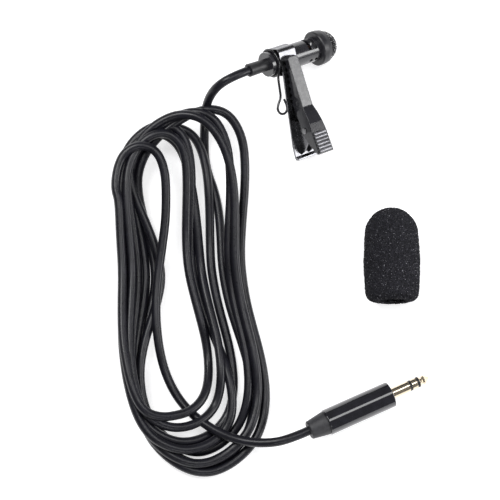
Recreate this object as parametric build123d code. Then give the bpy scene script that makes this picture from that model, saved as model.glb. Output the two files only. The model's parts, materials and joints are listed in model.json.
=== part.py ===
from build123d import *
from math import atan2, cos, degrees, hypot, pi, radians, sin, tan
import os

# Lavalier microphone on its clip, with its cable, jack plug and loose foam windscreen.
# Everything lies on the plane z = 0. Lengths are in millimetres, angles in degrees.
# The microphone is drawn in its own frame: +X runs from the cable's exit to the nose, +Z out of the
# clip's lever, and the clip's tail points to -Y. The plug's frame has +X from the boot to the tip.

os.makedirs("parts", exist_ok=True)

# ---------------------------------------------------------------- driving dimensions
# places
cable_exit = (-27.6, 29.0, 19.9)
mic_heading = 26.5
mic_dip = 28.1
mic_roll = 24.3
plug_rear = (-8.0, -88.4, 8.9)
plug_heading = 24.6
plug_dip = 8.5
foam_place = (19.4, -46.4)

# fits
running_gap = 0.05
body_gap = 0.2

# cable
cable_radius = 1.5
wire_radius = 0.35

# strain relief and rear cap
relief_length = 7.2
relief_radius = 2.05
relief_lip = 0.15
relief_wall_hole = 1.8
cap_length = 1.3
cap_groove = 0.35
cap_spigot_length = 3.0
cap_spigot_wall = 0.7

# microphone body
body_radius = 4.1
body_wall = 0.6
body_length = 19.2
slot_width = 1.2
slot_pitch = 2.2
slot_start_angle = 8
slot_sweep = 118
slot_back = 1.7
vent_radius = 0.62
vent_angle = -47

# head ring and dome
ring_radius = 5.9
ring_length = 3.6
ring_front_radius = 5.6
ring_taper = 1.6
ring_lip = 0.35
dome_radius = 5.3
dome_wall = 0.35
felt_thickness = 0.8

# capsule
capsule_radius = 3.0
capsule_length = 4.8
capsule_wall = 0.25
board_thickness = 0.6
holder_length = 3.6

# clip
cuff_start = 10.0
clip_half_width = 3.4
sheet = 0.6
cuff_flat = 4.4
cuff_corner = 1.5
jaw_end = -15.0
jaw_drop = 1.3
tail_end = -32.4
tail_flat = 3.4
tail_drop = 3.1
tail_half_width = 4.2
lip_rise = 1.4
ear_gap = 0.25
ear_rim = 0.9
ear_front = 1.0
ear_back = 1.2
ear_back_height = 2.2
pin_y = -23.8
pin_z = 8.3
pin_radius = 0.75
ear_radius = 2.0
pin_head = 0.2
lever_tip = 1.5
lever_tip_depth = 1.4
lever_tip_rim = 0.5
bar_half_width = 2.1
bar_height = 2.4
bar_rise = 1.9
bar_end = -16.0
tooth_count = 7
tooth_pitch = 2.15
tooth_radius = 0.78
tooth_start = 1.2
jaw_gap = 0.12
pad_half_width = 3.0
pad_thickness = 1.0
pad_start = -24.3
pad_end = -31.9
pad_height = 7.3
pad_slope = 1.4
rib_count = 6
rib_radius = 0.45
rib_inset = 0.25

# torsion spring
spring_wire = 0.2
spring_radius = 1.15
spring_turns = 3.5
spring_pitch = 0.5
spring_leg_inset = 3.0

# wire cable keeper
keeper_wire = 0.4
keeper_place = 9.35
keeper_loop_radius = 2.1
keeper_leave_angle = 35
keeper_height = 1.0
keeper_loop_offset = 0.4

# plug
boot_length = 6.0
boot_rear_radius = 3.0
boot_front_radius = 3.9
boot_rim = 0.5
barrel_length = 23.5
barrel_radius = 4.3
barrel_wall = 0.7
barrel_end = 1.2
barrel_rim = 0.3
seam_gap = 0.3
liner_wall = 0.4
jack_radius = 1.75
jack_length = 14.0
jack_neck = 0.25
shoulder_length = 2.0
tip_length = 3.6
tip_neck_radius = 1.2
ring_contact_length = 1.9
insulator_length = 0.9
stem_wall = 0.3
stem_reach = 12.0
stem_step = 1.6
clamp_wall = 0.7
clamp_length = 3.0
clamp_gap = 1.0

# foam windscreen
foam_length = 31.6
foam_radius = 9.5
foam_shoulder = 0.6
foam_corner = 2.0
foam_bore_radius = 4.0
foam_bore_depth = 20.0

# hank of cable
hank_height = 10.0
hank_corner = 2.2

# ---------------------------------------------------------------- derived sizes
cap_start = relief_length
body_start = cap_start + cap_length + cap_groove
body_end = body_start + body_length
body_bore = body_radius - body_wall
ring_start = body_end - ring_lip
ring_end = ring_start + ring_length
dome_centre = ring_end - ring_lip
capsule_end = dome_centre - felt_thickness
capsule_start = capsule_end - capsule_length
slot_front = body_end - slot_back
cuff_middle = cuff_start + clip_half_width
cuff_inner = body_radius + running_gap
cuff_outer = cuff_inner + sheet
jaw_top = cuff_outer
lever_edge = jaw_top + jaw_gap
lever_top = jaw_top + bar_height
jaw_start = -cuff_outer
jaw_low = jaw_top - jaw_drop
tail_top = jaw_top - tail_drop
shoulder_top = lever_top + bar_rise
pad_top = jaw_top + pad_height
ear_half_width = bar_half_width - ear_gap
pin_reach = pad_half_width + running_gap
tail_slope_end = tail_end + tail_flat
barrel_start = boot_length + seam_gap
barrel_front = barrel_start + barrel_length
barrel_bore = barrel_radius - barrel_wall
boot_end = boot_length + seam_gap + 2 * barrel_end
clamp_start = barrel_start + 3 * barrel_end
shoulder_start = barrel_front - barrel_end - shoulder_length
neck_radius = jack_radius + jack_neck
sleeve_length = jack_length - tip_length - ring_contact_length - 2 * insulator_length

# ---------------------------------------------------------------- the cable's free stretches
# From the microphone the cable rises a little, turns over and drops to the surface at the hank's top.
lead_route = [
    cable_exit,
    (-32.4, 26.5, 22.8),
    (-37.9, 23.0, 22.8),
    (-42.3, 19.9, 19.3),
    (-44.3, 17.4, 13.6),
    (-44.4, 15.2, 8.2),
]
# From the hank's right side the cable comes down into the plug's boot.
tail_route = [
    (-22.6, -92.6, 7.6),
    (-14.8, -91.5, 10.0),
    plug_rear,
]
# The hank's outer edge, once round, clockwise from its top.
hank_outline = [
    (-47.5, 20.2),
    (-36.5, 16.5),
    (-31.2, 6.0),
    (-30.0, -10.0),
    (-30.3, -28.0),
    (-28.0, -44.5),
    (-24.0, -60.0),
    (-20.8, -75.0),
    (-24.0, -90.0),
    (-34.5, -100.5),
    (-46.5, -104.5),
    (-60.5, -97.0),
    (-68.0, -81.0),
    (-71.8, -58.0),
    (-71.0, -35.0),
    (-73.4, -9.5),
    (-69.8, 8.0),
    (-60.0, 17.2),
]

mic_place = Pos(*cable_exit) * Rot(0, 0, mic_heading) * Rot(0, mic_dip, 0) * Rot(mic_roll, 0, 0)
plug_place = Pos(*plug_rear) * Rot(0, 0, plug_heading) * Rot(0, plug_dip, 0)
nodes = {}


# ---------------------------------------------------------------- helpers
def rod(start, length, radius):
    """A round bar along +X from start."""
    bar = Cylinder(radius, length, align=(Align.CENTER, Align.CENTER, Align.MIN))
    return Pos(start, 0, 0) * Rot(0, 90, 0) * bar


def cone(start, length, rear_radius, front_radius):
    """A tapered round bar along +X from start."""
    taper = Cone(rear_radius, front_radius, length, align=(Align.CENTER, Align.CENTER, Align.MIN))
    return Pos(start, 0, 0) * Rot(0, 90, 0) * taper


def tube(start, length, outer, inner):
    """A round tube along +X from start."""
    return rod(start, length, outer) - rod(start, length, inner)


def turned(profile):
    """A body of revolution about X, from (x, radius) points."""
    face = make_face(Polyline([(x, 0, r) for x, r in profile], close=True))
    return revolve(face, Axis.X, 360)


def bent(points, half_width):
    """A side view in the YZ plane of the clip, pulled out to both sides of its middle."""
    face = make_face(Polyline([(0, y, z) for y, z in points], close=True))
    return Pos(cuff_middle, 0, 0) * extrude(face, half_width, dir=(1, 0, 0), both=True)


def across(y, z, radius, half_width):
    """A round bar across the clip."""
    return Pos(0, y, z) * rod(cuff_middle - half_width, 2 * half_width, radius)


def keep_mic(name, part):
    nodes[name] = mic_place * part


def keep_plug(name, part):
    nodes[name] = plug_place * part


# ---------------------------------------------------------------- microphone
def strain_relief():
    sleeve = cone(0, relief_length, relief_radius + relief_lip, relief_radius)
    neck = rod(relief_length, cap_length + cap_groove, relief_wall_hole)
    hole = rod(0, relief_length + cap_length + cap_groove, cable_radius)
    return sleeve + neck - hole


def cable_end():
    return rod(0, body_start + cap_spigot_length, cable_radius)


def rear_cap():
    flange = rod(cap_start, cap_length, body_radius)
    step = rod(cap_start + cap_length, cap_groove, body_bore)
    spigot = rod(body_start, cap_spigot_length, body_bore)
    cavity = rod(body_start, cap_spigot_length, body_bore - cap_spigot_wall)
    hole = rod(cap_start, cap_length + cap_groove, relief_wall_hole)
    return flange + step + spigot - cavity - hole


def cable_crimp():
    collar_radius = body_bore - cap_spigot_wall - body_gap
    return tube(body_start, cap_spigot_length - body_gap, collar_radius, cable_radius)


def body_slots():
    """Two slots round the upper side of the body, behind the head ring."""
    slots = []
    for row in range(2):
        start = slot_front - row * slot_pitch - slot_width
        ring = tube(start, slot_width, body_radius + 1, body_bore - 1)
        reach = 3 * body_radius
        corners = [(0, 0, 0)]
        for part in range(4):
            angle = radians(slot_start_angle + slot_sweep * part / 3)
            corners.append((0, reach * sin(angle), reach * cos(angle)))
        wedge = extrude(make_face(Polyline(corners, close=True)), slot_width, dir=(1, 0, 0))
        slots.append(ring & (Pos(start, 0, 0) * wedge))
    return slots


def body_vents():
    """Two round vents on the lower side of the body, in line with the slots."""
    vents = []
    for row in range(2):
        middle = slot_front - row * slot_pitch - slot_width / 2
        drill = Cylinder(vent_radius, 2 * body_radius, align=(Align.CENTER, Align.CENTER, Align.MIN))
        vents.append(Pos(middle, 0, 0) * Rot(-vent_angle, 0, 0) * drill)
    return vents


def mic_body():
    shell = tube(body_start, body_length, body_radius, body_bore)
    for opening in body_slots() + body_vents():
        shell = shell - opening
    return shell


def head_ring():
    taper_start = ring_end - ring_taper
    profile = [
        (ring_start, body_radius),
        (ring_start, ring_radius - ring_lip),
        (ring_start + ring_lip, ring_radius),
        (taper_start, ring_radius),
        (ring_end, ring_front_radius),
        (ring_end, dome_radius),
        (body_end, dome_radius),
        (body_end, body_radius),
    ]
    return turned(profile)


def grille_dome():
    """A domed cup: its skirt sits in the head ring and its crown is half a ball."""
    ball = Pos(dome_centre, 0, 0) * Sphere(dome_radius)
    hollow = Pos(dome_centre, 0, 0) * Sphere(dome_radius - dome_wall)
    front = rod(dome_centre, dome_radius, dome_radius)
    skirt = tube(body_end, dome_centre - body_end, dome_radius, dome_radius - dome_wall)
    return (ball & front) - hollow + skirt


def dust_felt():
    return rod(capsule_end, felt_thickness, dome_radius - dome_wall - running_gap)


def capsule_can():
    can = rod(capsule_start, capsule_length, capsule_radius)
    inside = rod(capsule_start, capsule_length - capsule_wall, capsule_radius - capsule_wall)
    port = rod(capsule_end - 2 * capsule_wall, 4 * capsule_wall, capsule_radius / 4)
    return can - inside - port


def capsule_board():
    return rod(capsule_start, board_thickness, capsule_radius - capsule_wall)


def capsule_holder():
    return tube(body_end - holder_length, holder_length, body_bore, capsule_radius)


def lead_wires():
    """Two wires from the cable's end to the capsule's board."""
    start = body_start + cap_spigot_length
    wires = []
    for side in (-1, 1):
        wires.append(Pos(0, side * cable_radius / 2, 0) * rod(start, capsule_start - start, wire_radius))
    return wires[0] + wires[1]


# ---------------------------------------------------------------- clip
def clip_cuff():
    """The base sheet's front end, rolled round the microphone, flat on the lever's side."""
    outer = rod(cuff_start, 2 * clip_half_width, cuff_outer)
    pad = Box(2 * clip_half_width, cuff_flat + cuff_outer, cuff_outer)
    outer = outer + Pos(cuff_middle, (cuff_flat - cuff_outer) / 2, cuff_outer / 2) * pad
    corner = outer.edges().filter_by(Axis.X).sort_by(lambda edge: edge.center().Y + edge.center().Z)[-1]
    outer = fillet(corner, cuff_corner)
    return outer - rod(cuff_start, 2 * clip_half_width, cuff_inner)


def base_plate():
    top = [
        (0, jaw_top),
        (jaw_start, jaw_top),
        (jaw_end, jaw_low),
        (tail_slope_end, tail_top),
        (tail_end, tail_top),
    ]
    lip = [
        (tail_end - sheet, tail_top + lip_rise),
        (tail_end - 2 * sheet, tail_top + lip_rise),
        (tail_end - 2 * sheet, tail_top - sheet / 2),
        (tail_end - sheet, tail_top - sheet),
    ]
    bottom = [
        (tail_slope_end, tail_top - sheet),
        (jaw_end, jaw_low - sheet),
        (jaw_start, jaw_top - sheet),
        (0, jaw_top - sheet),
    ]
    outline = [
        (-clip_half_width, 0),
        (clip_half_width, 0),
        (tail_half_width, tail_slope_end),
        (tail_half_width, tail_end - 2 * sheet),
        (-tail_half_width, tail_end - 2 * sheet),
        (-tail_half_width, tail_slope_end),
    ]
    plan = extrude(make_face(Polyline(outline, close=True)), jaw_top + lip_rise)
    return bent(top + lip + bottom, tail_half_width) & (Pos(cuff_middle, 0, 0) * plan)


def base_ears():
    """Two flanges that stand up from the base, inside the lever's flanks, and hold the hinge pin."""
    front = pin_y + ear_radius + ear_front
    foot = tail_top - sheet + (front - tail_slope_end) * (jaw_low - tail_top) / (jaw_end - tail_slope_end)
    side_view = [
        (front, foot),
        (pin_y + ear_radius, pin_z + ear_rim),
        (pin_y - ear_radius, pin_z + ear_rim),
        (tail_end + ear_back, tail_top + ear_back_height),
        (tail_end, tail_top - sheet),
        (tail_slope_end, tail_top - sheet),
    ]
    flanges = bent(side_view, ear_half_width) + across(pin_y, pin_z, ear_radius, ear_half_width)
    inside = Box(2 * (ear_half_width - sheet), -3 * tail_end, -3 * tail_end)
    return flanges - Pos(cuff_middle, 0, 0) * inside


def clip_base():
    pin_hole = across(pin_y, pin_z, pin_radius, clip_half_width)
    plate = base_plate() - rod(cuff_start, 2 * clip_half_width, cuff_inner)
    return clip_cuff() + plate + base_ears() - pin_hole


def lever_side(lower):
    """The lever's side view; lower moves it down and back to hollow out the channel."""
    top = [
        (lever_tip, lever_edge + lever_tip_rim),
        (lever_tip, lever_top - lever_tip_rim),
        (lever_tip - lever_tip_rim / 3, lever_top - lever_tip_rim / 3),
        (lever_tip - lever_tip_rim, lever_top),
        (bar_end, shoulder_top),
        (bar_end + (pad_start - bar_end) / 3, (2 * shoulder_top + pad_top) / 3 + lever_tip_rim),
        (bar_end + (pad_start - bar_end) * 2 / 3, (shoulder_top + 2 * pad_top) / 3 + lever_tip_rim),
        (pad_start, pad_top),
        (pad_end, pad_top + pad_slope),
    ]
    bottom = [
        (pad_end, pad_top + pad_slope - pad_thickness),
        (pin_y - ear_radius - 2.4, pin_z + 0.6),
        (pin_y - ear_radius, pin_z - 0.8),
        (pin_y - 0.6, pin_z - ear_radius),
        (pin_y + 1.4, pin_z - ear_radius + 0.1),
        (jaw_end - 2 * tooth_radius, jaw_low + jaw_gap + tooth_radius),
        (jaw_end, jaw_low + jaw_gap),
        (jaw_start, lever_edge),
        (lever_tip - lever_tip_rim, lever_edge),
    ]
    return [(y - lower, z - lower) for y, z in top + bottom]


def lever_plan(inset):
    """The lever's outline from above: a narrow bar with a round tip that widens to the pad."""
    bar = bar_half_width - inset
    pad = pad_half_width - inset
    tip = lever_tip - inset
    tip_start = tip - lever_tip_depth
    right = [(bar, tip_start), (bar, bar_end), (pad, pad_start), (pad, pad_end - 1)]
    left = [(-x, y) for x, y in reversed(right)]
    nose = ThreePointArc((-bar, tip_start), (0, tip), (bar, tip_start))
    sides = Polyline(right + left)
    return Pos(cuff_middle, 0, 0) * extrude(make_face([nose, sides]), -2 * pad_end)


def lever_teeth():
    """Round notches that leave crocodile teeth along both flanks' edges."""
    notches = []
    for tooth in range(tooth_count):
        y = jaw_end + tooth_start + tooth * tooth_pitch
        z = jaw_top - jaw_drop * max(0, (y - jaw_start) / (jaw_end - jaw_start))
        notches.append(across(y, z, tooth_radius, bar_half_width + 1))
    return notches


def lever_ribs():
    """Half-round grip ribs across the thumb pad."""
    run = pad_start - pad_end
    pitch = run / (rib_count + 0.6)
    ribs = []
    for rib in range(rib_count):
        back = pitch * (rib + 0.8)
        height = pad_top + pad_slope * back / run
        ribs.append(across(pad_start - back, height, rib_radius, pad_half_width - rib_inset))
    return ribs


def clip_lever():
    shell = bent(lever_side(0), pad_half_width) & lever_plan(0)
    hollow = bent(lever_side(sheet), pad_half_width) & lever_plan(sheet)
    lever = shell - hollow
    for notch in lever_teeth():
        lever = lever - notch
    for rib in lever_ribs():
        lever = lever + rib
    return lever - across(pin_y, pin_z, pin_radius + running_gap, pad_half_width)


def hinge_pin():
    heads = across(pin_y, pin_z, pin_radius + pin_head, pin_reach + pin_head)
    middle = across(pin_y, pin_z, pin_radius + 2 * pin_head, pin_reach)
    return heads - middle + across(pin_y, pin_z, pin_radius, pin_reach)


def spring_leg(x, start, end):
    """A straight leg of spring wire in the plane at x, from one (y, z) to another."""
    length = hypot(end[0] - start[0], end[1] - start[1])
    lift = degrees(atan2(end[1] - start[1], end[0] - start[0]))
    leg = Cylinder(spring_wire, length, align=(Align.CENTER, Align.CENTER, Align.MIN))
    return Pos(x, start[0], start[1]) * Rot(lift - 90, 0, 0) * leg


def torsion_spring():
    """Close turns round the pin; one leg lies on the base, the other under the pad."""
    height = spring_turns * spring_pitch
    helix = Helix(spring_pitch, height, spring_radius)
    coil = sweep(Plane(helix @ 0, z_dir=helix % 0) * Circle(spring_wire), path=helix, is_frenet=True)
    start = cuff_middle - height / 2
    coil = Pos(start, pin_y, pin_z) * Rot(0, 90, 0) * coil
    near = pin_y + spring_wire
    lower = spring_leg(start, (near, pin_z - spring_radius), (tail_slope_end, tail_top + sheet))
    pad_under = pad_top + pad_slope / 2 - 2 * sheet
    upper = spring_leg(start + height, (near, pin_z + spring_radius), (pad_end + spring_leg_inset, pad_under))
    return coil + lower + upper


def keeper_path():
    """Off the ring at a tangent, along the base's edge, then round an open loop."""
    reach = cuff_inner + keeper_wire
    turned_by = radians(keeper_leave_angle)
    leave_y = -reach * sin(turned_by)
    leave_z = reach * cos(turned_by)
    run = (leave_z - keeper_height) / sin(turned_by) * 0.6
    loop_x = keeper_place - keeper_loop_offset
    loop_y = jaw_end - keeper_loop_offset
    points = [
        (keeper_place, leave_y, leave_z),
        (keeper_place, leave_y - run * cos(turned_by), leave_z - run * sin(turned_by)),
        (keeper_place, loop_y + 1.7 * keeper_loop_radius, keeper_height),
    ]
    for angle in (130, 180, 230, 280, 330, 380):
        x = loop_x + keeper_loop_radius * cos(radians(angle))
        y = loop_y + keeper_loop_radius * sin(radians(angle))
        points.append((x, y, keeper_height))
    points.append((loop_x + 0.7 * keeper_loop_radius, loop_y + 1.3 * keeper_loop_radius, keeper_height))
    return points


def holder_wire():
    """A spring wire ring round the microphone with a tail that ends in the cable keeper's loop."""
    ring = Pos(keeper_place, 0, 0) * Rot(0, 90, 0) * Torus(cuff_inner + keeper_wire, keeper_wire)
    path = rounded_path(keeper_path(), keeper_wire)
    tail = sweep(Plane(path @ 0, z_dir=path % 0) * Circle(keeper_wire), path=path)
    return ring + tail


# ---------------------------------------------------------------- plug
def plug_boot():
    boot = cone(0, boot_length, boot_rear_radius, boot_front_radius)
    rim = boot.edges().filter_by(GeomType.CIRCLE).sort_by(Axis.X)[0]
    boot = fillet(rim, boot_rim)
    neck = rod(boot_length, boot_end - boot_length, barrel_bore)
    return boot + neck - rod(0, boot_end, cable_radius)


def plug_barrel():
    shell = rod(barrel_start, barrel_length, barrel_radius)
    rims = shell.edges().filter_by(GeomType.CIRCLE)
    shell = fillet(rims, barrel_rim)
    bore = rod(barrel_start, barrel_length - barrel_end, barrel_bore)
    return shell - bore - rod(barrel_front - barrel_end, barrel_end, neck_radius + running_gap)


def plug_liner():
    outer = barrel_bore - running_gap
    return tube(clamp_start, barrel_front - barrel_end - clamp_start, outer, outer - liner_wall)


def stem_radius(layer):
    """Outer radius of the jack's concentric stems: 0 the tip's, 1 and 3 insulators, 2 the ring's."""
    return jack_radius - (4 - layer) * stem_wall


def stem_back(layer):
    """How far behind the barrel's front each stem reaches."""
    return stem_reach - stem_step * layer


def plug_sleeve_contact():
    """The sleeve with its thicker neck, which fills the barrel's end, and the shoulder behind it."""
    sleeve = rod(barrel_front, sleeve_length, jack_radius)
    neck = rod(shoulder_start, barrel_front - shoulder_start, neck_radius)
    shoulder = rod(shoulder_start, shoulder_length, barrel_bore - liner_wall - 2 * running_gap)
    bore = rod(shoulder_start, barrel_front + sleeve_length - shoulder_start, stem_radius(3))
    return sleeve + neck + shoulder - bore


def plug_ring_contact():
    start = barrel_front + sleeve_length + insulator_length
    back = barrel_front - stem_back(2)
    ring = rod(start, ring_contact_length, jack_radius)
    stem = rod(back, start - back, stem_radius(2))
    return ring + stem - rod(back, start + ring_contact_length - back, stem_radius(1))


def plug_tip_contact():
    start = barrel_front + jack_length - tip_length
    back = barrel_front - stem_back(0)
    profile = [
        (start, 0),
        (start, jack_radius),
        (start + 0.3 * tip_length, tip_neck_radius),
        (start + 0.5 * tip_length, jack_radius - 0.1),
        (start + 0.9 * tip_length, 0.6),
        (start + tip_length, 0.3),
        (start + tip_length, 0),
    ]
    return turned(profile) + rod(back, start - back, stem_radius(0))


def plug_insulator(layer, start):
    back = barrel_front - stem_back(layer)
    band = rod(start, insulator_length, jack_radius)
    stem = rod(back, start - back, stem_radius(layer))
    return band + stem - rod(back, start + insulator_length - back, stem_radius(layer - 1))


def plug_clamp():
    """The clamp that grips the cable's end inside the barrel."""
    return tube(clamp_start, clamp_length, cable_radius + clamp_wall, cable_radius)


def plug_cable_end():
    return rod(0, clamp_start + clamp_length + clamp_gap, cable_radius)


# ---------------------------------------------------------------- foam windscreen
def windscreen():
    """A foam sock: a round crown, sides that swell a little, a rounded foot and a blind mouth."""
    end_radius = foam_radius - foam_shoulder
    crown = foam_length - end_radius
    widest = (foam_corner + crown) / 2
    with BuildSketch(Plane.XY) as side_view:
        with BuildLine():
            Line((0, 0), (0, end_radius - foam_corner))
            RadiusArc((0, end_radius - foam_corner), (foam_corner, end_radius), foam_corner)
            ThreePointArc((foam_corner, end_radius), (widest, foam_radius), (crown, end_radius))
            RadiusArc((crown, end_radius), (foam_length, 0), end_radius)
            Line((foam_length, 0), (0, 0))
        make_face()
    foam = revolve(side_view.sketch, Axis.X, 360)
    foam = foam - rod(0, foam_bore_depth, foam_bore_radius)
    return Pos(foam_place[0], foam_place[1], foam_radius) * Rot(0, 0, 90) * foam


# ---------------------------------------------------------------- cable
def turn_at(before, point, after):
    """The angle by which a route turns at a point."""
    return (Vector(*point) - Vector(*before)).get_angle(Vector(*after) - Vector(*point))


def rounded_path(points, thickness):
    """Straight runs joined by the largest tangent arcs that the runs leave room for."""
    radii = []
    for before, point, after in zip(points, points[1:], points[2:]):
        run = min((Vector(*point) - Vector(*before)).length, (Vector(*after) - Vector(*point)).length)
        radii.append(0.45 * run / tan(radians(turn_at(before, point, after) / 2)))
    print("radii in diameters", [round(radius / (2 * thickness), 1) for radius in radii])
    return FilletPolyline(*points, radius=radii)


def cable_tube(points):
    path = rounded_path(points, cable_radius)
    solid = sweep(Plane(path @ 0, z_dir=path % 0) * Circle(cable_radius), path=path)
    ratio = solid.volume / (path.length * pi * cable_radius ** 2)
    print("length", round(path.length, 2), "volume ratio", round(ratio, 4))
    return solid


def cable_coil():
    """The loose hank's outer shape, one closed solid with a softened upper edge."""
    outline = Spline([(x, y) for x, y in hank_outline], periodic=True)
    hank = extrude(make_face(outline), hank_height)
    rim = hank.faces().sort_by(Axis.Z)[-1].edges()
    return chamfer(rim, hank_corner)


# ---------------------------------------------------------------- the whole object
keep_mic("strain_relief", strain_relief())
keep_mic("cable_end", cable_end())
keep_mic("rear_cap", rear_cap())
keep_mic("cable_crimp", cable_crimp())
keep_mic("mic_body", mic_body())
keep_mic("head_ring", head_ring())
keep_mic("grille_dome", grille_dome())
keep_mic("dust_felt", dust_felt())
keep_mic("capsule_can", capsule_can())
keep_mic("capsule_board", capsule_board())
keep_mic("capsule_holder", capsule_holder())
keep_mic("lead_wires", lead_wires())
keep_mic("clip_base", clip_base())
keep_mic("clip_lever", clip_lever())
keep_mic("hinge_pin", hinge_pin())
keep_mic("torsion_spring", torsion_spring())
keep_mic("holder_wire", holder_wire())

ring_insulator_start = barrel_front + sleeve_length
tip_insulator_start = ring_insulator_start + insulator_length + ring_contact_length
keep_plug("plug_boot", plug_boot())
keep_plug("plug_barrel", plug_barrel())
keep_plug("plug_liner", plug_liner())
keep_plug("plug_sleeve_contact", plug_sleeve_contact())
keep_plug("plug_ring_contact", plug_ring_contact())
keep_plug("plug_tip_contact", plug_tip_contact())
keep_plug("plug_ring_insulator", plug_insulator(3, ring_insulator_start))
keep_plug("plug_tip_insulator", plug_insulator(1, tip_insulator_start))
keep_plug("plug_clamp", plug_clamp())
keep_plug("plug_cable_end", plug_cable_end())

nodes["windscreen"] = windscreen()
nodes["cable_lead"] = cable_tube(lead_route)
nodes["cable_tail"] = cable_tube(tail_route)
nodes["cable_coil"] = cable_coil()

for name, part in nodes.items():
    export_step(part, f"parts/{name}.step")
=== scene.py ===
import json
import math

import bpy
from mathutils import Matrix, Vector, noise


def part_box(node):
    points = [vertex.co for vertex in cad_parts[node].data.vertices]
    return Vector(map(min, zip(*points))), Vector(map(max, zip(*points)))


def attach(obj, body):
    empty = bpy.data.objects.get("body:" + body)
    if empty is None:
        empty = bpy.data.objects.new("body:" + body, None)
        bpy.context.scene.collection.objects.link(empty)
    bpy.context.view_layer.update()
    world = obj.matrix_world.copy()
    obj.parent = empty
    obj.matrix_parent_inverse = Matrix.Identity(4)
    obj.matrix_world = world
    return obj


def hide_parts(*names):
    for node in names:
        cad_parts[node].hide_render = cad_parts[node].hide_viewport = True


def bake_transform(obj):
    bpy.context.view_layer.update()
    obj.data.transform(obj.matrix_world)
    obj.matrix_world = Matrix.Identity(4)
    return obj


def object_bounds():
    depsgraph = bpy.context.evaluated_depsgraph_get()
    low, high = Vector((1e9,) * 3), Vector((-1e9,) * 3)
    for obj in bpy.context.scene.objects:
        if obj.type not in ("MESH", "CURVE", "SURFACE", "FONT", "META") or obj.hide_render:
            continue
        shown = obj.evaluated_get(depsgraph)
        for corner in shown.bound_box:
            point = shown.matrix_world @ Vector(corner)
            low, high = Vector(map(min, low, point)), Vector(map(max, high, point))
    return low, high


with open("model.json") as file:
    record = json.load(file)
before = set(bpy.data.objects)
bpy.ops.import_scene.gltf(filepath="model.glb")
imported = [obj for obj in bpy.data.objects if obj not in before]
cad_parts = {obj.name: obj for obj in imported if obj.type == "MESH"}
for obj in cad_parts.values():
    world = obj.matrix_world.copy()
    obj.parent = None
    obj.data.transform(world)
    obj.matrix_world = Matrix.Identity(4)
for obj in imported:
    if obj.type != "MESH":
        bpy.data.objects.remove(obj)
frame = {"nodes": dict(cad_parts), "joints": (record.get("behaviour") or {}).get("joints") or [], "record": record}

# Lavalier microphone: its looks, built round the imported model. Blender works in metres; sizes
# that are easier to read in millimetres are multiplied by MM.
MM = 0.001

cad_low, cad_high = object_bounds()
nodes = frame["nodes"]
record = frame["record"]
joints = {joint["name"]: joint for joint in frame["joints"]}
mounts = {mount["name"]: mount for mount in record["mounts"]}


# ---------------------------------------------------------------- the microphone's frame
def placed(origin, x_axis, y_axis):
    """A placing matrix from an origin and two axes."""
    x_axis = Vector(x_axis).normalized()
    z_axis = x_axis.cross(Vector(y_axis)).normalized()
    y_axis = z_axis.cross(x_axis)
    turn = Matrix((x_axis, y_axis, z_axis)).transposed().to_4x4()
    return Matrix.Translation(Vector(origin)) @ turn


# The microphone's own frame: +X to the nose, +Y away from the clip's tail, +Z out of the lever;
# its origin is on the axis, in the middle of the clip's cuff.
mic_frame = placed(joints["clip_swivel"]["pos_m"], joints["clip_swivel"]["axis"], mounts["clip_jaw"]["axis"])


# ---------------------------------------------------------------- camera
CAMERA_DISTANCE = 0.70
CAMERA_ELEVATION = math.radians(80)
CAMERA_LENS = 151.2
CAMERA_SENSOR = 36.0
CAMERA_NEAR = 0.01
CAMERA_FAR = 10
# From the middle of the box to the middle of the picture.
AIM_OFFSET = Vector((-6.2 * MM, 1.6 * MM, 0))


def make_camera():
    """A camera from almost straight above, a little towards the front."""
    middle = (cad_low + cad_high) / 2
    aim = Vector((middle.x, middle.y, 0)) + AIM_OFFSET
    back = Vector((0, -math.cos(CAMERA_ELEVATION), math.sin(CAMERA_ELEVATION)))
    data = bpy.data.cameras.new("camera")
    data.lens = CAMERA_LENS
    data.sensor_width = CAMERA_SENSOR
    data.clip_start = CAMERA_NEAR
    data.clip_end = CAMERA_FAR
    camera = bpy.data.objects.new("camera", data)
    bpy.context.scene.collection.objects.link(camera)
    camera.location = aim + back * CAMERA_DISTANCE
    camera.rotation_euler = (-back).to_track_quat("-Z", "Y").to_euler()
    bpy.context.scene.camera = camera


# ---------------------------------------------------------------- cable
CABLE_DIAMETER = 3.0 * MM
CABLE_SMOOTHNESS = 6
CABLE_ROUNDNESS = 5

# The free stretch from the microphone, in millimetres.
LEAD_ROUTE = [
    (-27.6, 29.0, 19.9),
    (-32.4, 26.5, 22.4),
    (-37.6, 23.8, 20.8),
    (-40.6, 21.4, 15.0),
    (-42.0, 18.6, 8.6),
    (-42.4, 14.0, 3.8),
    (-42.5, 8.4, 1.8),
    (-42.3, 3.4, 1.5),
]
# The hank's longest and shortest turns, clockwise from the top; each turn runs between the two.
LONG_TURN = [
    (-49.0, 17.6), (-38.8, 16.6), (-31.8, 7.0), (-29.7, -9.0), (-30.4, -29.7), (-28.1, -46.5),
    (-24.1, -61.4), (-21.9, -76.3), (-24.8, -90.0), (-34.4, -99.4), (-45.8, -102.6), (-59.0, -96.0),
    (-66.3, -81.2), (-70.0, -59.8), (-69.7, -36.4), (-71.6, -12.0), (-69.0, 1.5), (-60.6, 11.4),
]
SHORT_TURN = [
    (-59.4, 5.0), (-53.4, 0.0), (-51.9, -11.6), (-50.4, -24.0), (-48.4, -36.4), (-45.7, -48.1),
    (-44.0, -58.6), (-44.8, -68.0), (-47.6, -74.2), (-52.4, -77.4), (-57.8, -76.0), (-61.6, -71.0),
    (-62.0, -63.0), (-58.6, -52.0), (-55.4, -37.0), (-59.0, -21.0), (-64.0, -9.0), (-64.6, 0.6),
]
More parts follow.
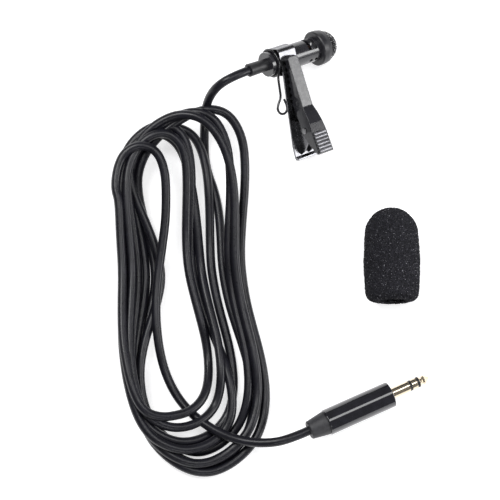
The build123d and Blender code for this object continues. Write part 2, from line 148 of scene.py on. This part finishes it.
# How far each turn goes from the short one, 0, to the long one, 1: at its right side, bottom, left side and
# the top that follows, and how far that top leans to the left, in millimetres.
TURNS = [
    (0.66, 0.90, 0.20, 1.00, -5.0),
    (1.00, 1.00, 0.42, 0.92, -1.0),
    (0.78, 0.74, 0.06, 0.84, 2.0),
    (0.90, 0.88, 0.60, 0.62, 1.0),
    (0.46, 0.58, 0.78, 0.66, 5.0),
    (0.12, 0.68, 0.92, 0.42, 4.0),
    (0.28, 0.40, 0.72, 0.40, 1.5),
    (0.06, 0.24, 0.94, 0.60, 0.0),
]
# The same share at the first turn's own top.
FIRST_TOP = 0.40
# Places on a turn are counted along its guides' points, from top to top. These are its top, right side,
# bottom, left side and next top.
FACTOR_PLACES = (0, 4, 9, 14, 18)
# In the same count: how far from a top its lean reaches, the step from one control point to the next, and
# where the hank begins on its first turn and ends on its last.
LEAN_SPAN = 4
PLACE_STEP = 0.5
FIRST_TURN_START = 2
LAST_TURN_END = 15.5
# The tail crosses over the hank and comes down into the plug's boot.
TAIL_ROUTE = [
    (-71.6, -9.0), (-71.0, -2.2), (-68.6, 3.2), (-63.4, 5.8), (-57.9, 3.8), (-55.2, -2.6),
    (-54.8, -10.8), (-55.0, -19.0), (-56.0, -27.0), (-57.6, -38.0), (-58.2, -48.5), (-57.4, -59.0),
    (-55.2, -68.8), (-50.9, -77.4), (-44.6, -84.2), (-37.2, -89.0), (-29.4, -91.8),
]
PLUG_LEAD_IN = [(-21.8, -92.6, 9.0), (-14.8, -91.5, 10.0), (-8.0, -88.4, 8.9)]

# How the cable lies on itself. LAYER is the distance in millimetres between the middles of two strands that
# cross, a little less than a diameter, so that they press together.
LAYER = 0.92 * CABLE_DIAMETER / MM
# Probes from one control point to the next, and how many of them still count as the same strand.
PROBES = 6
SAME_STRAND = 3 * PROBES
# A hump keeps its height for this many probes on each side, then falls with this slope, and is rounded over
# this many millimetres.
HUMP_TOP = 3
HUMP_SLOPE = 0.24
HUMP_ROUND = 2.6
# Above SOFT_HEIGHT, in millimetres, the pile sinks together, and only SOFT_SHARE of the rest remains.
SOFT_HEIGHT = 6.0
SOFT_SHARE = 0.72


def eased(amount):
    """Goes from 0 to 1 with a gentle start and end."""
    return (1 - math.cos(math.pi * amount)) / 2


def guide_at(guide, place):
    """A point on the smooth closed curve through a guide's points."""
    start = math.floor(place)
    t = place - start
    before, here, after, beyond = (Vector(guide[(start + step) % len(guide)]) for step in (-1, 0, 1, 2))
    straight = (after - before) * t
    bend = (2 * before - 5 * here + 4 * after - beyond) * t ** 2
    ease = (3 * here - before - 3 * after + beyond) * t ** 3
    return (2 * here + straight + bend + ease) / 2


def turn_factor(turn, place):
    """How long the turn is at one of its places, eased between its top, right, bottom, left and next top."""
    top = TURNS[turn - 1][3] if turn else FIRST_TOP
    values = (top,) + TURNS[turn][:4]
    for step in range(4):
        start, end = FACTOR_PLACES[step], FACTOR_PLACES[step + 1]
        if place <= end:
            amount = eased((place - start) / (end - start))
            return values[step] + (values[step + 1] - values[step]) * amount


def turn_lean(turn, place):
    """How far a point near a turn's top is moved to the left."""
    lean_before = TURNS[turn - 1][4] if turn else 0
    after_top = max(0, 1 - place / LEAN_SPAN)
    before_top = max(0, 1 - (len(LONG_TURN) - place) / LEAN_SPAN)
    return lean_before * eased(after_top) + TURNS[turn][4] * eased(before_top)


def hank_plan():
    """The plan of the turns, one after another."""
    points = []
    for turn in range(len(TURNS)):
        place = FIRST_TURN_START if turn == 0 else 0
        end = LAST_TURN_END if turn == len(TURNS) - 1 else len(LONG_TURN)
        while place < end:
            factor = turn_factor(turn, place)
            point = guide_at(SHORT_TURN, place).lerp(guide_at(LONG_TURN, place), factor)
            points.append(point - Vector((turn_lean(turn, place), 0)))
            place += PLACE_STEP
    return points


def probe_line(points):
    """Closely spaced places along a line, to feel for what lies below it."""
    probes = []
    for point, after in zip(points, points[1:]):
        for step in range(PROBES):
            probes.append(point.lerp(after, step / PROBES))
    return probes + [points[-1]]


def pile_heights(probes, known):
    """How high each place lies when the line is laid on the surface and on what it has already laid; the
    first heights are known."""
    heights = []
    cells = {}
    for index, point in enumerate(probes):
        cell = (math.floor(point.x / LAYER), math.floor(point.y / LAYER))
        height = known[index] if index < len(known) else CABLE_DIAMETER / MM / 2
        for across in (-1, 0, 1):
            for along in (-1, 0, 1):
                for other in cells.get((cell[0] + across, cell[1] + along), ()):
                    apart = (probes[other] - point).length
                    if index >= len(known) and index - other > SAME_STRAND and apart < LAYER:
                        height = max(height, heights[other] + math.sqrt(LAYER ** 2 - apart ** 2))
        heights.append(height)
        cells.setdefault(cell, []).append(index)
    return heights


def long_humps(heights, spacing):
    """Broadens each crossing's step into a long low hump."""
    count = len(heights)
    raised = [max(heights[max(0, i - HUMP_TOP):i + HUMP_TOP + 1]) for i in range(count)]
    for index in range(1, count):
        raised[index] = max(raised[index], raised[index - 1] - HUMP_SLOPE * spacing)
    for index in range(count - 2, -1, -1):
        raised[index] = max(raised[index], raised[index + 1] - HUMP_SLOPE * spacing)
    reach = round(2 * HUMP_ROUND / spacing)
    weights = [math.exp(-(step * spacing / HUMP_ROUND) ** 2) for step in range(-reach, reach + 1)]
    rounded = []
    for index in range(count):
        near = [raised[min(count - 1, max(0, index + step))] for step in range(-reach, reach + 1)]
        rounded.append(sum(weight * height for weight, height in zip(weights, near)) / sum(weights))
    return [min(height, SOFT_HEIGHT + SOFT_SHARE * (height - SOFT_HEIGHT)) for height in rounded]


def cable_points():
    """The whole cable's control points, in metres."""
    lead = [Vector(point) for point in LEAD_ROUTE]
    lead_probes = probe_line(lead)[:-1]
    plan = [lead[-1].xy] + hank_plan() + [Vector(point) for point in TAIL_ROUTE]
    probes = probe_line(plan)
    known = [probe.z for probe in lead_probes]
    heights = pile_heights([probe.xy for probe in lead_probes] + probes, known)[len(known):]
    travelled = sum((after - point).length for point, after in zip(probes, probes[1:]))
    heights = long_humps(heights, travelled / len(probes))
    laid = [Vector((*point, height)) for point, height in zip(plan, heights[::PROBES])]
    plug_end = [Vector(point) for point in PLUG_LEAD_IN]
    return [point * MM for point in lead[:-1] + laid + plug_end]


def make_cable():
    """The whole cable as one spline, from the microphone to the plug."""
    points = cable_points()
    data = bpy.data.curves.new("cable", "CURVE")
    data.dimensions = "3D"
    spline = data.splines.new("NURBS")
    spline.points.add(len(points) - 1)
    for control, point in zip(spline.points, points):
        control.co = (*point, 1)
    spline.order_u = 3
    spline.use_endpoint_u = True
    data.resolution_u = CABLE_SMOOTHNESS
    data.bevel_depth = CABLE_DIAMETER / 2
    data.bevel_resolution = CABLE_ROUNDNESS
    cable = bpy.data.objects.new("cable", data)
    bpy.context.scene.collection.objects.link(cable)
    data.materials.append(cable_jacket())
    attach(cable, "microphone")
    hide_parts("cable_lead", "cable_coil", "cable_tail")


# ---------------------------------------------------------------- material helpers
BEVEL_SAMPLES = 8
COAT_ROUGHNESS = 0.08
# How much coarser the colour varies than the grain, and how far the roughness varies with the grain.
BROAD_SHARE = 0.12
ROUGH_LOW = 0.85
ROUGH_HIGH = 1.2


def new_material(name, color, roughness, metallic=0.0):
    """A principled material; returns it with its node tree and shader."""
    material = bpy.data.materials.new(name)
    material.use_nodes = True
    tree = material.node_tree
    shader = tree.nodes["Principled BSDF"]
    shader.inputs["Base Color"].default_value = (*color, 1)
    shader.inputs["Roughness"].default_value = roughness
    shader.inputs["Metallic"].default_value = metallic
    return material, tree, shader


def object_place(tree):
    """The place in the object's own space."""
    return tree.nodes.new("ShaderNodeTexCoord").outputs["Object"]


def noise_at(tree, grains, detail=4.0, rough=0.55):
    """Noise in object space, by its grains per millimetre."""
    texture = tree.nodes.new("ShaderNodeTexNoise")
    texture.inputs["Scale"].default_value = grains / MM
    texture.inputs["Detail"].default_value = detail
    texture.inputs["Roughness"].default_value = rough
    tree.links.new(object_place(tree), texture.inputs["Vector"])
    return texture.outputs["Fac"]


def cells_at(tree, cells):
    """Distance to the nearest cell's centre, by the cells per millimetre."""
    texture = tree.nodes.new("ShaderNodeTexVoronoi")
    texture.inputs["Scale"].default_value = cells / MM
    tree.links.new(object_place(tree), texture.inputs["Vector"])
    return texture.outputs["Distance"]


def ramp_between(tree, value, low, high, low_at=0.35, high_at=0.65):
    """Maps a value to colours between two ends."""
    ramp = tree.nodes.new("ShaderNodeValToRGB")
    ramp.color_ramp.elements[0].position = low_at
    ramp.color_ramp.elements[0].color = (*low, 1)
    ramp.color_ramp.elements[1].position = high_at
    ramp.color_ramp.elements[1].color = (*high, 1)
    tree.links.new(value, ramp.inputs["Fac"])
    return ramp.outputs["Color"]


def grey(value):
    """A colour with the same value in all channels."""
    return (value, value, value)


def add_bump(tree, shader, value, strength, depth, edge=0.0):
    """A fine relief, on edges that are softened by the given radius, both in millimetres."""
    bump = tree.nodes.new("ShaderNodeBump")
    bump.inputs["Strength"].default_value = strength
    bump.inputs["Distance"].default_value = depth * MM
    tree.links.new(value, bump.inputs["Height"])
    if edge:
        bevel = tree.nodes.new("ShaderNodeBevel")
        bevel.samples = BEVEL_SAMPLES
        bevel.inputs["Radius"].default_value = edge * MM
        tree.links.new(bevel.outputs["Normal"], bump.inputs["Normal"])
    tree.links.new(bump.outputs["Normal"], shader.inputs["Normal"])


def worn_finish(name, color, roughness, metallic=0.0, grain=3.0, bump=0.15, depth=0.02, vary=0.25, coat=0.0,
                shine=0.5, edge=0.12):
    """A lacquered, moulded or plated finish: its colour and gloss vary a little, and it has a fine grain."""
    material, tree, shader = new_material(name, color, roughness, metallic)
    broad = noise_at(tree, grain * BROAD_SHARE)
    fine = noise_at(tree, grain, detail=2.0)
    low = tuple(channel * (1 - vary) for channel in color)
    high = tuple(min(1.0, channel * (1 + vary)) for channel in color)
    tree.links.new(ramp_between(tree, broad, low, high), shader.inputs["Base Color"])
    rough = ramp_between(tree, fine, grey(roughness * ROUGH_LOW), grey(min(1.0, roughness * ROUGH_HIGH)))
    tree.links.new(rough, shader.inputs["Roughness"])
    add_bump(tree, shader, fine, bump, depth, edge)
    shader.inputs["Specular IOR Level"].default_value = shine
    shader.inputs["Coat Weight"].default_value = coat
    shader.inputs["Coat Roughness"].default_value = COAT_ROUGHNESS
    return material


def cable_jacket():
    """Soft black plastic with a fine matte grain and long gloss."""
    return worn_finish("cable_jacket", (0.008, 0.008, 0.012), 0.32, grain=1.6, bump=0.02, shine=0.35, edge=0)


# The foam's pores, which carry painted shade, and its painted glints per millimetre, the strength of its relief
# and its depth in millimetres, and its shine.
FOAM_PORES = 2.2
FOAM_GLINTS = 2.4
FOAM_STRENGTH = 0.8
FOAM_DEPTH = 0.25
FOAM_SHINE = 0.25


def open_foam():
    """Charcoal foam, with painted shade in the pores between its struts and painted glints on a few struts."""
    material, tree, shader = new_material("open_foam", (0.012, 0.012, 0.014), 0.9)
    struts = cells_at(tree, FOAM_PORES)
    # Painted shade: the pores between the struts are darker than the struts.
    tone = ramp_between(tree, struts, grey(0.002), (0.020, 0.020, 0.026), 0.1, 0.7)
    spots = noise_at(tree, FOAM_GLINTS, detail=1.0)
    # Painted glints: a few bright spots in the foam's colour stand in for highlights.
    glints = ramp_between(tree, spots, grey(0.0), (0.24, 0.24, 0.26), 0.66, 0.74)
    mix = tree.nodes.new("ShaderNodeMixRGB")
    mix.blend_type = "ADD"
    mix.inputs["Fac"].default_value = 1.0
    tree.links.new(tone, mix.inputs["Color1"])
    tree.links.new(glints, mix.inputs["Color2"])
    tree.links.new(mix.outputs["Color"], shader.inputs["Base Color"])
    add_bump(tree, shader, struts, FOAM_STRENGTH, FOAM_DEPTH)
    shader.inputs["Specular IOR Level"].default_value = FOAM_SHINE
    return material


# The painted glints and the grain of the wire per millimetre, and the grain's strength and its depth in
# millimetres.
WIRE_GLINTS = 2.6
WIRE_GRAIN = 8.0
WIRE_STRENGTH = 0.2
WIRE_DEPTH = 0.02


def woven_wire():
    """Blackened wire with painted glints: bright spots in its colour stand in for highlights."""
    material, tree, shader = new_material("woven_wire", (0.03, 0.03, 0.034), 0.32, 0.9)
    glint_spots = noise_at(tree, WIRE_GLINTS, detail=1.0)
    # Painted highlights: the bright spots in the wire's colour stand in for glints.
    tone = ramp_between(tree, glint_spots, (0.035, 0.035, 0.04), grey(0.9), 0.58, 0.66)
    tree.links.new(tone, shader.inputs["Base Color"])
    add_bump(tree, shader, noise_at(tree, WIRE_GRAIN), WIRE_STRENGTH, WIRE_DEPTH)
    return material


# One finish for each material slot, apart from the woven grille's.
NODE_FINISHES = {
    "body_black": dict(color=(0.016, 0.016, 0.020), roughness=0.24, coat=0.6),
    "head_black": dict(color=(0.016, 0.016, 0.020), roughness=0.36, grain=6.0, bump=0.2, edge=0.25),
    "rubber": dict(color=(0.014, 0.014, 0.016), roughness=0.42, grain=4.0, bump=0.3),
    "felt": dict(color=(0.006, 0.006, 0.006), roughness=0.95, grain=8.0, bump=0.8, shine=0.1),
    # Painted shade: the capsule's can and the board are darker than their own metal and green, so that the inside
    # of the body's slots reads dark.
    "capsule_metal": dict(color=(0.06, 0.06, 0.065), roughness=0.45, metallic=1.0),
    "board": dict(color=(0.008, 0.03, 0.014), roughness=0.5),
    "cable_black": dict(color=(0.010, 0.010, 0.013), roughness=0.36, shine=0.35),
    "crimp_metal": dict(color=(0.6, 0.6, 0.6), roughness=0.35, metallic=1.0),
    "wire_copper": dict(color=(0.30, 0.14, 0.08), roughness=0.4, metallic=1.0),
    "clip_black": dict(color=(0.016, 0.016, 0.020), roughness=0.22, coat=0.25, grain=0.8, bump=0.01,
                       edge=0.4),
    "clip_metal": dict(color=(0.17, 0.17, 0.18), roughness=0.24, metallic=1.0, grain=0.6, bump=0.01,
                       vary=0.06, edge=0.2),
    "pin_steel": dict(color=(0.30, 0.30, 0.31), roughness=0.3, metallic=1.0),
    "spring_steel": dict(color=(0.10, 0.10, 0.105), roughness=0.3, metallic=1.0),
    "boot_grey": dict(color=(0.026, 0.026, 0.030), roughness=0.5, grain=8.0, bump=0.4),
    "barrel_black": dict(color=(0.010, 0.010, 0.014), roughness=0.10, coat=0.8, bump=0.03),
    "gold": dict(color=(0.80, 0.69, 0.53), roughness=0.18, metallic=1.0, vary=0.05, bump=0.05, edge=0.08),
    "insulator": dict(color=(0.010, 0.010, 0.011), roughness=0.4),
    "foam": dict(color=(0.012, 0.012, 0.013), roughness=0.95),
}
SMOOTH_BELOW = math.radians(32)


def dress_nodes(finishes):
    """Gives every CAD node the finish of its slot, and smooths its round faces."""
    for part in record["subparts"]:
        mesh = nodes[part["node"]].data
        mesh.materials.clear()
        mesh.materials.append(finishes[part["material_slot"]])
        mesh.shade_smooth()
        mesh.set_sharp_from_angle(angle=SMOOTH_BELOW)


# ---------------------------------------------------------------- mesh helpers
# Crossed with a wire's own direction, this gives the wire a side.
ODD_DIRECTION = Vector((0.31, 0.52, 0.79))


def add_piece(name, vertices, faces, material, body, replaced=()):
    """A new mesh piece, smooth, on one of the bodies."""
    mesh = bpy.data.meshes.new(name)
    mesh.from_pydata(vertices, [], faces)
    mesh.shade_smooth()
    mesh.materials.append(material)
    piece = bpy.data.objects.new(name, mesh)
    bpy.context.scene.collection.objects.link(piece)
    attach(piece, body)
    if replaced:
        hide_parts(*replaced)
    return piece


def join_rings(faces, first, bands, sides):
    """Adds the bands of faces between rings of vertices that follow one another."""
    for band in range(bands):
        for step in range(sides):
            beside = (step + 1) % sides
            here = first + band * sides
            faces.append((here + step, here + beside, here + sides + beside, here + sides + step))


def add_tube(vertices, faces, line, radii, sides):
    """Adds a round wire along a line of points, with its radius at each, to a mesh's lists."""
    first = len(vertices)
    count = len(line)
    for index, point in enumerate(line):
        ahead = (line[min(count - 1, index + 1)] - line[max(0, index - 1)]).normalized()
        side = ahead.cross(ODD_DIRECTION).normalized()
        up = ahead.cross(side)
        for step in range(sides):
            turn = 2 * math.pi * step / sides
            vertices.append(point + (side * math.cos(turn) + up * math.sin(turn)) * radii[index])
    join_rings(faces, first, count - 1, sides)
    faces.append(tuple(first + step for step in reversed(range(sides))))
    faces.append(tuple(first + (count - 1) * sides + step for step in range(sides)))


# ---------------------------------------------------------------- woven dome
# In millimetres: from wire to wire, a wire's radius, how far it weaves in and out, and its points' spacing.
# Then the fewest steps along a wire, its sides, the lining's distance behind the wires, and its grid.
MESH_PITCH = 0.62
MESH_WIRE = 0.15
MESH_WEAVE = 0.13
MESH_STEP = 0.31
MESH_LEAST_STEPS = 4
MESH_SIDES = 6
LINING_GAP = 0.1
LINING_RINGS = 12
LINING_SIDES = 40


def dome_sizes():
    """The dome's radius and the place of its centre along the microphone's axis, in millimetres."""
    back = mic_frame.inverted()
    corners = [back @ vertex.co for vertex in nodes["grille_dome"].data.vertices]
    tip = max(corner.x for corner in corners) / MM
    radius = max(math.hypot(corner.y, corner.z) for corner in corners) / MM
    return radius, tip - radius


def woven_dome(finishes):
    """The grille as two crossing sets of wires, each going over one and under the next."""
    radius, centre = dome_sizes()
    shell = radius - MESH_WIRE - MESH_WEAVE
    count = math.floor(shell / MESH_PITCH)
    vertices, faces = [], []
    for across in (True, False):
        for row in range(-count, count + 1):
            offset = row * MESH_PITCH
            arc_radius = math.sqrt(shell ** 2 - offset ** 2)
            steps = max(MESH_LEAST_STEPS, round(math.pi * arc_radius / MESH_STEP))
            line = []
            for step in range(steps + 1):
                angle = math.pi * (step / steps - 0.5)
                along = arc_radius * math.sin(angle)
                out = arc_radius * math.cos(angle)
                wave = math.cos(math.pi * along / MESH_PITCH) * (-1) ** row * (1 if across else -1)
                point = Vector((out, offset, along) if across else (out, along, offset))
                point *= 1 + wave * MESH_WEAVE / shell
                line.append(mic_frame @ ((point + Vector((centre, 0, 0))) * MM))
            add_tube(vertices, faces, line, [MESH_WIRE * MM] * len(line), MESH_SIDES)
    add_piece("woven_dome", vertices, faces, finishes["grille"], "microphone", ["grille_dome"])


def dome_lining(finishes):
    """Black cloth just behind the woven dome."""
    radius, centre = dome_sizes()
    inner = radius - 2 * (MESH_WIRE + MESH_WEAVE) - LINING_GAP
    vertices, faces = [], []
    for ring in range(LINING_RINGS + 1):
        angle = math.pi / 2 * ring / LINING_RINGS
        for step in range(LINING_SIDES):
            turn = 2 * math.pi * step / LINING_SIDES
            out = math.cos(angle)
            point = Vector((math.sin(angle), out * math.cos(turn), out * math.sin(turn)))
            vertices.append(mic_frame @ ((point * inner + Vector((centre, 0, 0))) * MM))
    join_rings(faces, 0, LINING_RINGS, LINING_SIDES)
    add_piece("dome_lining", vertices, faces, finishes["felt"], "microphone")


# ---------------------------------------------------------------- thumb pad
# In millimetres, in the microphone's frame: the first rib's place along the lever and its height, the step to
# the next rib, the radius, half the length, and the radius left at the ends.
RIB_COUNT = 6
RIB_FIRST = (-25.22, 12.22)
RIB_STEP = (-1.15, 0.212)
RIB_RADIUS = 0.50
RIB_REACH = 2.75
RIB_TIP = 0.1
RIB_SIDES = 16


def thumb_ribs():
    """The pad's grip ribs over those of the CAD lever, with round ends, in a light metallic colour that paints
    their highlights.
    """
    vertices, faces = [], []
    for rib in range(RIB_COUNT):
        along = RIB_FIRST[0] + rib * RIB_STEP[0]
        height = RIB_FIRST[1] + rib * RIB_STEP[1]
        line, radii = [], []
        for step in range(-RIB_SIDES, RIB_SIDES + 1):
            across = RIB_REACH * math.sin(math.pi / 2 * step / RIB_SIDES)
            past = max(0.0, abs(across) - (RIB_REACH - RIB_RADIUS))
            line.append(mic_frame @ (Vector((across, along, height)) * MM))
            radii.append(math.sqrt(max(RIB_TIP ** 2, RIB_RADIUS ** 2 - past ** 2)) * MM)
        add_tube(vertices, faces, line, radii, RIB_SIDES)
    # Painted highlight: the ribs' light metallic colour stands in for the light they catch; the lever's own paint
    # is black.
    rib_highlight_finish = worn_finish("painted_highlight_ribs", (0.30, 0.30, 0.32), 0.42, 0.9, bump=0.02, edge=0)
    add_piece("thumb_ribs", vertices, faces, rib_highlight_finish, "lever")


def winding_spring():
    """The torsion spring, copied from the CAD spring and set in world space, with its lower leg on the base and
    its upper leg on the lever; it does not move with the lever.
    """
    wire = bpy.data.objects.new("winding_spring", nodes["torsion_spring"].data.copy())
    bpy.context.scene.collection.objects.link(wire)
    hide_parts("torsion_spring")
    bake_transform(wire)


# ---------------------------------------------------------------- foam windscreen
# In millimetres, apart from the counts of rings, sides and steps, and a strut's width, a share of a cell.
FOAM_RINGS = 190
FOAM_SIDES = 210
FOAM_CELL = 1.0
FOAM_PIT = 0.55
FOAM_STRUT = 0.35
FOAM_LUMP = 0.22
FOAM_LUMP_SIZE = 2.6
FOAM_AXIS = 0.01
ARC_STEPS = 10
SIDE_STEPS = 3 * ARC_STEPS
MOUTH_RADIUS = 4.0
MOUTH_LIP = 0.9
MOUTH_DEPTH = 12.0
FOOT_CORNER = 3.2
SIDE_SWELL = 0.5


def foam_outline(length, radius):
    """Side view of the foam from inside the mouth, round the lip and up the side to the crown."""
    end_radius = radius - SIDE_SWELL
    crown = length - end_radius
    outline = [(MOUTH_DEPTH, FOAM_AXIS)]
    for step in range(ARC_STEPS + 1):
        along = MOUTH_DEPTH * (1 - step / ARC_STEPS) + MOUTH_LIP * step / ARC_STEPS
        outline.append((along, MOUTH_RADIUS))
    for step in range(1, ARC_STEPS + 1):
        angle = math.pi / 2 * step / ARC_STEPS
        outline.append((MOUTH_LIP * (1 - math.sin(angle)), MOUTH_RADIUS + MOUTH_LIP * (1 - math.cos(angle))))
    for step in range(ARC_STEPS + 1):
        angle = math.pi / 2 * step / ARC_STEPS
        rim = end_radius - FOOT_CORNER * (1 - math.sin(angle))
        outline.append((FOOT_CORNER * (1 - math.cos(angle)), rim))
    for step in range(1, SIDE_STEPS):
        amount = step / SIDE_STEPS
        along = FOOT_CORNER + (crown - FOOT_CORNER) * amount
        outline.append((along, end_radius + SIDE_SWELL * math.sin(math.pi * amount)))
    for step in range(SIDE_STEPS + 1):
        angle = math.pi / 2 * step / SIDE_STEPS
        outline.append((crown + end_radius * math.sin(angle), max(FOAM_AXIS, end_radius * math.cos(angle))))
    return [Vector(point) for point in outline]


def spread_evenly(outline, count):
    """Points at even distances along an outline."""
    travelled = [0.0]
    for before, point in zip(outline, outline[1:]):
        travelled.append(travelled[-1] + (point - before).length)
    points = []
    index = 0
    for step in range(count + 1):
        wanted = travelled[-1] * step / count
        while index < len(outline) - 2 and travelled[index + 1] < wanted:
            index += 1
        amount = (wanted - travelled[index]) / (travelled[index + 1] - travelled[index])
        points.append(outline[index].lerp(outline[index + 1], amount))
    return points


def foam_relief(place):
    """How far the foam's surface lies below its outline, in millimetres: open cells and soft lumps."""
    distances = noise.voronoi(place / FOAM_CELL)[0]
    strut = min(1.0, (distances[1] - distances[0]) / FOAM_STRUT)
    return FOAM_PIT * strut + FOAM_LUMP * (0.5 + 0.5 * noise.noise(place / FOAM_LUMP_SIZE))


def foam_sock():
    """The windscreen: a lathed sock with a real mouth and open cells all over."""
    low, high = (Vector(corner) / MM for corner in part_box("windscreen"))
    length = high.y - low.y
    radius = (high.x - low.x) / 2
    middle = (low + high) / 2
    line = spread_evenly(foam_outline(length, radius), FOAM_RINGS)
    vertices = []
    for index, (along, out) in enumerate(line):
        ahead = line[min(FOAM_RINGS, index + 1)] - line[max(0, index - 1)]
        outward = Vector((-ahead.y, ahead.x)).normalized()
        for step in range(FOAM_SIDES):
            turn = 2 * math.pi * (step + 0.5 * (index % 2)) / FOAM_SIDES
            place = Vector((out * math.cos(turn), along, out * math.sin(turn)))
            normal = Vector((outward.y * math.cos(turn), outward.x, outward.y * math.sin(turn)))
            point = place - normal * foam_relief(place)
            vertices.append((point + Vector((middle.x, low.y, middle.z))) * MM)
    faces = []
    for index in range(FOAM_RINGS):
        for step in range(FOAM_SIDES):
            beside = (step + 1) % FOAM_SIDES
            here = index * FOAM_SIDES
            faces.append((here + step, here + FOAM_SIDES + step, here + FOAM_SIDES + beside, here + beside))
    foam = add_piece("foam_sock", vertices, faces, open_foam(), "foam", ["windscreen"])


# ---------------------------------------------------------------- studio
FLOOR_HALF = 3.0
FLOOR_GLOW = 0.62
WORLD_GLOW = 0.16
LIGHT_DISTANCE = 0.9
# Each light's azimuth and elevation in degrees, its size in metres and its power in watts.
LIGHTS = {
    "key_box": (140, 58, (0.35, 0.50), 5.0),
    "right_panel": (-6, 22, (0.60, 0.24), 4.0),
    "top_strip": (24, 69, (0.26, 0.70), 2.6),
    "front_strip": (-78, 36, (0.6, 0.10), 1.4),
}


def make_floor():
    """A pale floor that glows a little, like a lit studio table."""
    data = bpy.data.meshes.new("floor")
    half = FLOOR_HALF
    corners = [(-half, -half, 0), (half, -half, 0), (half, half, 0), (-half, half, 0)]
    data.from_pydata(corners, [], [(0, 1, 2, 3)])
    floor = bpy.data.objects.new("floor", data)
    bpy.context.scene.collection.objects.link(floor)
    material, _, shader = new_material("floor", (0.75, 0.75, 0.76), 0.9)
    shader.inputs["Specular IOR Level"].default_value = 0.0
    shader.inputs["Emission Color"].default_value = (1, 1, 1, 1)
    shader.inputs["Emission Strength"].default_value = FLOOR_GLOW
    data.materials.append(material)


def make_softbox(name, aim, azimuth, elevation, size, power):
    """A rectangular light that faces the aim; azimuth 0 is to the right of the picture and 90 is behind."""
    turn, lift = math.radians(azimuth), math.radians(elevation)
    away = Vector((math.cos(turn) * math.cos(lift), math.sin(turn) * math.cos(lift), math.sin(lift)))
    data = bpy.data.lights.new(name, "AREA")
    data.shape = "RECTANGLE"
    data.size, data.size_y = size
    data.energy = power
    light = bpy.data.objects.new(name, data)
    bpy.context.scene.collection.objects.link(light)
    light.location = aim + away * LIGHT_DISTANCE
    light.rotation_euler = (-away).to_track_quat("-Z", "Y").to_euler()


def make_studio():
    """The floor, a dim even surrounding and the softboxes."""
    make_floor()
    world = bpy.data.worlds.new("studio")
    world.use_nodes = True
    world.node_tree.nodes["Background"].inputs["Color"].default_value = (1, 1, 1, 1)
    world.node_tree.nodes["Background"].inputs["Strength"].default_value = WORLD_GLOW
    bpy.context.scene.world = world
    middle = (cad_low + cad_high) / 2
    for name, (azimuth, elevation, size, power) in LIGHTS.items():
        make_softbox(name, middle, azimuth, elevation, size, power)
    bpy.context.scene.view_settings.view_transform = "Standard"


# ---------------------------------------------------------------- the scene
make_camera()
make_cable()
finishes = {name: worn_finish(name, **look) for name, look in NODE_FINISHES.items()}
finishes["grille"] = woven_wire()
dress_nodes(finishes)
woven_dome(finishes)
dome_lining(finishes)
winding_spring()
thumb_ribs()
foam_sock()
make_studio()
